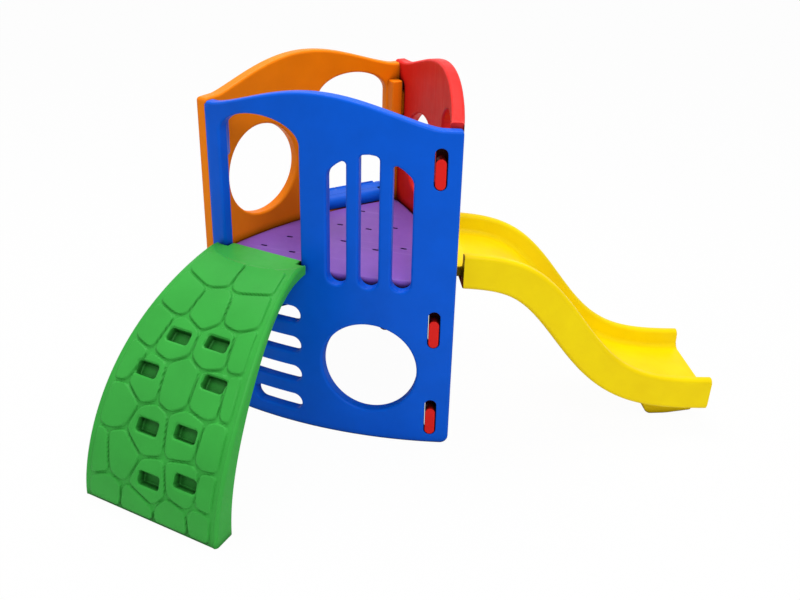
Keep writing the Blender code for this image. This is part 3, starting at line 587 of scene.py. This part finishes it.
def sink_landing(x, y, z):
    """Lower the face to the dished landing in front of the doorway."""
    radial = np.hypot(x / DISH_RADIUS, y / DISH_REACH)
    rise = (RAMP_CREST - TONGUE_TOP + EDGE_ROUND) / DISH_FLARE
    past = (radial - 1) * DISH_RADIUS
    floor = TONGUE_TOP + DISH_LIFT + rise * DISH_SOFT * np.logaddexp(0, past / DISH_SOFT)
    return -DISH_BLEND * np.logaddexp(-z / DISH_BLEND, -floor / DISH_BLEND)


def ramp_rings():
    """Rings of points round the ramp's section, one for each station: an array rows x ring x 3."""
    rows, out, up, n_out, n_up, in_out, in_up = ramp_stations()
    half = half_width(up)
    part = np.linspace(-1, 1, RAMP_COLUMNS + 1)
    across = part * (half - RAMP_ROUND)[:, None]
    distance = np.broadcast_to(rows[:, None], across.shape)
    lift = face_lift(across, distance, np.broadcast_to(up[:, None], across.shape))
    x, y = across, -(out[:, None] + n_out[:, None] * lift)
    z = up[:, None] + n_up[:, None] * lift
    z = np.where(-y < 2 * DISH_REACH, sink_landing(x, y, z), z)
    face = np.stack([x, y, z], -1)
    corner = []
    for i in range(1, RAMP_ROUND_STEPS + 1):
        angle = math.pi / 2 * i / RAMP_ROUND_STEPS
        drop = RAMP_ROUND * (math.cos(angle) - 1)
        beside, before = half - RAMP_ROUND + RAMP_ROUND * math.sin(angle), -(out + n_out * drop)
        level = up + n_up * drop
        level = np.where(-before < 2 * DISH_REACH, sink_landing(beside, before, level), level)
        corner.append(np.stack([beside, before, level], -1))
    outer, inner = corner[-1], np.stack([half, -in_out, in_up], -1)
    corner += [outer + (inner - outer) * i / RAMP_SIDE_STEPS for i in range(1, RAMP_SIDE_STEPS)]
    toward = inner - outer
    toward = toward / np.linalg.norm(toward, axis=-1)[:, None]
    for i in range(RIM_STEPS + 1):
        angle = math.pi / 2 * i / RIM_STEPS
        spot = inner - toward * RIM_ROUND * (1 - math.sin(angle))
        corner.append(spot - np.array([RIM_ROUND * (1 - math.cos(angle)), 0, 0]))
    right = np.stack(corner, 1)
    left = right[:, ::-1] * np.array([-1, 1, 1])
    span = left[:, 0] - right[:, -1]
    under = [right[:, -1] + span * i / RAMP_UNDER_STEPS for i in range(1, RAMP_UNDER_STEPS)]
    rings = np.concatenate([face, right, np.stack(under, 1), left], 1)
    rings[..., 2] = np.maximum(rings[..., 2], 0)
    rings[..., 1] = np.minimum(rings[..., 1], -MODULE_CLEAR)
    rings[..., 0] -= rings[..., 1] * RAMP_LEAN / RAMP_REACH
    return rings


def bmesh_from_rings(name, rings):
    """A closed shell through an array of rings of points, capped at both ends."""
    count, size = rings.shape[:2]
    index = np.arange(count * size).reshape(count, size)
    after = np.roll(index, -1, axis=1)
    faces = np.stack([index[:-1], after[:-1], after[1:], index[1:]], -1).reshape(-1, 4).tolist()
    faces += [index[0][::-1].tolist(), index[-1].tolist()]
    mesh = bpy.data.meshes.new(name)
    mesh.from_pydata(rings.reshape(-1, 3).tolist(), [], faces)
    bm = bmesh.new()
    bm.from_mesh(mesh)
    bpy.data.meshes.remove(mesh)
    return bm


def ramp_point(across, distance, stations):
    """Place of a point on the ramp's face, the lean included."""
    rows, out, up = stations[:3]
    spot_out, spot_up = np.interp(distance, rows, out), np.interp(distance, rows, up)
    return Vector((across + spot_out * RAMP_LEAN / RAMP_REACH, -spot_out, spot_up))


def pocket_wells():
    """Drafted wells of the hand and foot holds, square to the ramp's face."""
    stations = ramp_stations()
    levels = [(WELL_TOP, 0.0), (-POCKET_DEPTH + POCKET_FILLET, POCKET_DRAFT)]
    for i in range(1, WELL_STEPS + 1):
        angle = math.pi / 2 * i / WELL_STEPS
        levels.append((-POCKET_DEPTH + POCKET_FILLET * (1 - math.sin(angle)),
                       POCKET_DRAFT + POCKET_FILLET * (1 - math.cos(angle))))
    pieces = []
    for across, distance in POCKETS:
        middle = ramp_point(across, distance, stations)
        above = ramp_point(across, distance + LAP, stations)
        up = Vector((0, above.y - middle.y, above.z - middle.z)).normalized()
        normal = Vector((0, -up.z, up.y))
        bm = bmesh.new()
        rings = []
        for lift, draft in levels:
            wide, high = POCKET_WIDTH / 2 - draft, POCKET_HEIGHT / 2 - draft
            corner = max(POCKET_CORNER - draft, POCKET_LEAST_CORNER)
            outline = rounded_polygon([(-wide, -high, corner), (wide, -high, corner), (wide, high, corner),
                                       (-wide, high, corner)], 5)
            rings.append([bm.verts.new(middle + Vector((x, 0, 0)) + up * y + normal * lift)
                          for x, y in outline])
        shell_between(bm, rings)
        pieces.append(object_from_bmesh("well", bm))
    return join_shells("wells", pieces)


def make_ramp(name):
    bm = bmesh_from_rings(name, ramp_rings())
    bmesh.ops.remove_doubles(bm, verts=bm.verts, dist=FINE_MERGE)
    ramp = object_from_bmesh(name, bm)
    boolean(ramp, pocket_wells(), "DIFFERENCE")
    return ramp


def slide_height(out):
    """Height of the side walls' top at a distance from the wall."""
    part = 0.5 - 0.5 * math.tanh((out - SLIDE_MIDDLE) / SLIDE_SPREAD)
    return SLIDE_LOW + (SLIDE_HIGH - SLIDE_LOW) * part


def slide_section():
    """The slide's cross-section as (across, height) points, 0 being the top of the side walls."""
    half, inner = SLIDE_WIDTH / 2, SLIDE_WIDTH / 2 - SLIDE_WALL
    floor = inner - SLIDE_DRAFT
    deep, trough = -SLIDE_SECTION_DEPTH, -SLIDE_TROUGH_DEPTH
    bottom, rim, bed = SLIDE_BOTTOM_ROUND, SLIDE_RIM_ROUND, SLIDE_TROUGH_ROUND
    return rounded_polygon([(-half, deep, bottom), (half, deep, bottom), (half, 0, rim), (inner, 0, rim),
                            (floor, trough, bed), (-floor, trough, bed), (-inner, 0, rim),
                            (-half, 0, rim)], 7)


def slide_foot():
    """The block that carries the slide's lower end."""
    start, end = SLIDE_FOOT
    tip, bend, heel = SLIDE_FOOT_ROUNDS
    top = SLIDE_LOW - SLIDE_SECTION_DEPTH + SLIDE_FOOT_LAP
    corners = [(-end, SLIDE_FOOT_RISE, tip), (-SLIDE_FOOT_FLAT, 0, bend),
               (-start - SLIDE_FOOT_RAKE, 0, heel), (-start, top, 0), (-end, top, 0)]
    foot = plate("foot", [rounded_polygon(corners)], SLIDE_FOOT_WIDTH, SMALL_ROUND)
    remap(foot, side_to_upright)
    return foot


def make_slide():
    """The slide's section swept down its S curve, with the doorway tongue and the foot joined on."""
    bm = bmesh.new()
    rings = []
    for i in range(SLIDE_ROWS + 1):
        out = MODULE_CLEAR + (SLIDE_LENGTH - MODULE_CLEAR) * i / SLIDE_ROWS
        fall = slide_height(out - LAP) - slide_height(out + LAP)
        normal = Vector((fall, 2 * LAP)).normalized()
        height = slide_height(out)
        ring = [Vector((across, min(-out - normal.x * up, -MODULE_CLEAR), height + normal.y * up))
                for across, up in slide_section()]
        rings.append([bm.verts.new(spot) for spot in ring])
    caps = shell_between(bm, rings)
    edges = [edge for cap in caps for edge in cap.edges]
    bmesh.ops.bevel(bm, geom=edges, offset=SLIDE_END_ROUND, segments=4, profile=0.5, affect="EDGES",
                    clamp_overlap=True)
    slide = object_from_bmesh("slide_moulding", bm)
    boolean(slide, tongue(), "UNION")
    boolean(slide, slide_foot(), "UNION")
    return slide


# ---- materials

def node(tree, kind, **values):
    """A new node, each value set on the socket of that name, or else as a property."""
    made = tree.nodes.new(kind)
    for key, value in values.items():
        if key in made.inputs:
            made.inputs[key].default_value = value
        else:
            setattr(made, key, value)
    return made


def noise(tree, coords, scale, detail=3.0, roughness=0.5, stretch=(1, 1, 1)):
    vector = node(tree, "ShaderNodeMapping", Scale=stretch)
    tree.links.new(coords, vector.inputs["Vector"])
    made = node(tree, "ShaderNodeTexNoise", Scale=scale, Detail=detail, Roughness=roughness)
    tree.links.new(vector.outputs["Vector"], made.inputs["Vector"])
    return made.outputs["Fac"]


def map_range(tree, value, source, target, smooth=False):
    """A value from the source range carried over to the target range, and held inside it."""
    made = node(tree, "ShaderNodeMapRange", interpolation_type="SMOOTHSTEP" if smooth else "LINEAR")
    for key, number in zip(("From Min", "From Max", "To Min", "To Max"), source + target):
        made.inputs[key].default_value = number
    tree.links.new(value, made.inputs["Value"])
    return made.outputs["Result"]


def times(tree, value, factor):
    made = node(tree, "ShaderNodeMath", operation="MULTIPLY")
    tree.links.new(value, made.inputs[0])
    made.inputs[1].default_value = factor
    return made.outputs[0]


def mix_color(tree, factor, first, second):
    """Two colours mixed by a factor. The Mix node keeps its colour sockets behind those of other kinds."""
    made = node(tree, "ShaderNodeMix", data_type="RGBA")
    for socket, value in ((made.inputs[0], factor), (made.inputs[6], first), (made.inputs[7], second)):
        if isinstance(value, bpy.types.NodeSocket):
            tree.links.new(value, socket)
        else:
            socket.default_value = value
    return made.outputs[2]


def shade(color, scale, tint=0.0):
    """A darker or lighter colour, pulled towards white by tint."""
    return tuple(min(channel * scale * (1 - tint) + tint, 1) for channel in color) + (1,)


def moulded_plastic(name, color):
    """Rotomoulded polyethylene: slight mottling, specks, scuffs, paler worn edges and soft orange peel.

    Wells, grooves and gaps, where little of the space in front is open, are darkened with painted shade.
    """
    material = bpy.data.materials.new(name)
    material.use_nodes = True
    tree = material.node_tree
    shader = tree.nodes["Principled BSDF"]
    coords = node(tree, "ShaderNodeTexCoord").outputs["Object"]
    mottle = noise(tree, coords, scale=7.0, detail=4.0, roughness=0.55)
    mottle = map_range(tree, mottle, (0.3, 0.7), (0, 1))
    base = mix_color(tree, mottle, shade(color, 0.93), shade(color, 1.05))
    edge = node(tree, "ShaderNodeNewGeometry").outputs["Pointiness"]
    worn = map_range(tree, edge, (0.515, 0.60), (0.0, 0.35), smooth=True)
    base = mix_color(tree, worn, base, shade(color, 1.12, tint=0.05))
    speck = noise(tree, coords, scale=90.0, detail=3.0)
    speck = map_range(tree, speck, (0.30, 0.36), (1.0, 0.0), smooth=True)
    base = mix_color(tree, times(tree, speck, 0.10), base, shade(color, 0.80))
    # painted shade: ambient occlusion darkens the colour towards near black in wells, grooves and gaps
    space = node(tree, "ShaderNodeAmbientOcclusion", samples=8, Distance=0.06).outputs["AO"]
    base = mix_color(tree, map_range(tree, space, (0.24, 0.72), (0, 1)), shade(color, 0.07), base)
    tree.links.new(base, shader.inputs["Base Color"])
    scuff = noise(tree, coords, scale=38.0, detail=6.0, roughness=0.65, stretch=(1.0, 1.0, 0.22))
    rough = map_range(tree, scuff, (0.35, 0.72), (0.33, 0.47))
    tree.links.new(rough, shader.inputs["Roughness"])
    shader.inputs["Specular IOR Level"].default_value = 0.10
    wave = node(tree, "ShaderNodeBump", Strength=0.35, Distance=0.0012)
    tree.links.new(noise(tree, coords, scale=16.0, detail=2.0), wave.inputs["Height"])
    peel = node(tree, "ShaderNodeBump", Strength=0.25, Distance=0.0003)
    tree.links.new(noise(tree, coords, scale=320.0, detail=2.0), peel.inputs["Height"])
    tree.links.new(wave.outputs["Normal"], peel.inputs["Normal"])
    tree.links.new(peel.outputs["Normal"], shader.inputs["Normal"])
    return material


# ---- pieces

def dress(piece, material, body, node_name, place=None):
    """Put a piece in its place and material, hang it on the body it rides on, and hide the CAD part it
    stands for.
    """
    piece.data.transform(TOWER @ place if place else TOWER)
    piece.data.materials.clear()
    piece.data.materials.append(material)
    piece.data.shade_smooth()
    piece.data.set_sharp_from_angle(angle=SHARP_ANGLE)
    weighted = piece.modifiers.new("weighted", "WEIGHTED_NORMAL")
    weighted.mode = "FACE_AREA"
    weighted.keep_sharp = True
    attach(piece, body)
    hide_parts(node_name)


def build_object():
    plastics = {name: moulded_plastic(name + "_moulded", color) for name, color in COLORS.items()}
    windows = [window_outline(*window) for window in zip(WINDOW_STARTS, WINDOW_CORNERS)]
    walls = (("blue", [], [round_hole(*LOWER_HOLE)] + rung_outlines() + windows),
             ("red", low_arch(), [round_hole(*UPPER_HOLE)]),
             ("orange", low_arch(), [round_hole(*UPPER_HOLE)]))
    for index, (color, foot_corners, holes) in enumerate(walls):
        wall = make_wall(color + "_wall", index, foot_corners, holes)
        dress(wall, plastics[color], "tower", color + "_panel", turn_to_wall(index))
    dress(make_deck(), plastics["purple"], "tower", "deck")
    green = make_ramp("green_ramp_moulding")
    blue = new_object("rear_ramp_moulding", green.data.copy())
    remap(blue, lambda co: Vector((co.x, co.y * REAR_RAMP_REACH / RAMP_REACH, co.z)))
    for ramp in (green, blue):
        boolean(ramp, tongue(), "UNION")
    modules = ((green, "green", "green_ramp", 0, RAMP_YAW), (make_slide(), "yellow", "slide", 1, SLIDE_YAW),
               (blue, "blue", "rear_ramp", 2, RAMP_YAW))
    for piece, color, body, index, yaw in modules:
        place = doorway_frame(index) @ Matrix.Rotation(yaw, 4, "Z")
        dress(piece, plastics[color], body, body, place)


# ---- camera, floor and light

def make_camera():
    """The photograph's camera, fitted to the tower's corners, curves and holes."""
    yaw, pitch, roll = CAMERA_YAW, CAMERA_PITCH, CAMERA_ROLL
    forward = Vector((math.sin(yaw) * math.cos(pitch), math.cos(yaw) * math.cos(pitch), -math.sin(pitch)))
    right = Vector((math.cos(yaw), -math.sin(yaw), 0))
    up = right.cross(forward)
    turned_right = right * math.cos(roll) + up * math.sin(roll)
    turned_up = up * math.cos(roll) - right * math.sin(roll)
    data = bpy.data.cameras.new("camera")
    data.lens, data.sensor_width, data.clip_end = CAMERA_LENS, CAMERA_SENSOR, CAMERA_FAR
    camera = new_object("camera", data)
    columns = Matrix((turned_right, turned_up, -forward)).transposed()
    x, y, z = CAMERA_PLACE
    camera.matrix_world = Matrix.Translation((x + SHIFT_X, y + SHIFT_Y, z)) @ columns.to_4x4()
    bpy.context.scene.camera = camera


def send_mixed(tree, factor, plain, white, output):
    """Send a plain shader to the output, with a white one over it by a factor."""
    blend = node(tree, "ShaderNodeMixShader")
    for source, socket in zip((factor, plain.outputs[0], white.outputs[0]), blend.inputs):
        tree.links.new(source, socket)
    tree.links.new(blend.outputs[0], tree.nodes[output].inputs["Surface"])


def make_floor():
    """A wide pale disc, so near to white for the camera that only a trace of the shadow shows on it."""
    bm = bmesh.new()
    bmesh.ops.create_circle(bm, cap_ends=True, radius=FLOOR_RADIUS, segments=FLOOR_SIDES)
    floor = object_from_bmesh("floor", bm)
    floor.location.z = -FLOOR_DROP
    material = bpy.data.materials.new("pale_floor")
    material.use_nodes = True
    tree = material.node_tree
    shader = tree.nodes["Principled BSDF"]
    shader.inputs["Base Color"].default_value = (FLOOR_GREY, FLOOR_GREY, FLOOR_GREY, 1)
    shader.inputs["Roughness"].default_value = FLOOR_ROUGHNESS
    shader.inputs["Specular IOR Level"].default_value = 0.0
    glow = node(tree, "ShaderNodeEmission", Color=WHITE, Strength=1.0)
    seen = node(tree, "ShaderNodeLightPath").outputs["Is Camera Ray"]
    send_mixed(tree, times(tree, seen, FLOOR_WHITENESS), shader, glow, "Material Output")
    floor.data.materials.append(material)


def make_world():
    """Soft grey light all round, white to camera, glossy and transmission rays."""
    world = bpy.data.worlds.new("studio")
    bpy.context.scene.world = world
    world.use_nodes = True
    tree = world.node_tree
    soft = tree.nodes["Background"]
    soft.inputs["Color"].default_value = WHITE
    soft.inputs["Strength"].default_value = WORLD_STRENGTH
    white = node(tree, "ShaderNodeBackground", Color=WHITE, Strength=1.0)
    path = node(tree, "ShaderNodeLightPath")
    seen = path.outputs["Is Camera Ray"]
    for ray in ("Is Transmission Ray", "Is Glossy Ray"):
        either = node(tree, "ShaderNodeMath", operation="MAXIMUM")
        tree.links.new(seen, either.inputs[0])
        tree.links.new(path.outputs[ray], either.inputs[1])
        seen = either.outputs[0]
    send_mixed(tree, seen, soft, white, "World Output")


def make_light(name, place, target, size, power):
    data = bpy.data.lights.new(name, "AREA")
    data.shape = "RECTANGLE"
    data.size, data.size_y = size
    data.energy = power
    light = new_object(name, data)
    light.location = place
    light.rotation_euler = (Vector(target) - Vector(place)).to_track_quat("-Z", "Y").to_euler()


def build_studio():
    make_camera()
    make_floor()
    make_world()
    for light in LIGHTS:
        make_light(*light)
    bpy.context.scene.view_settings.view_transform = "Standard"


build_studio()
build_object()
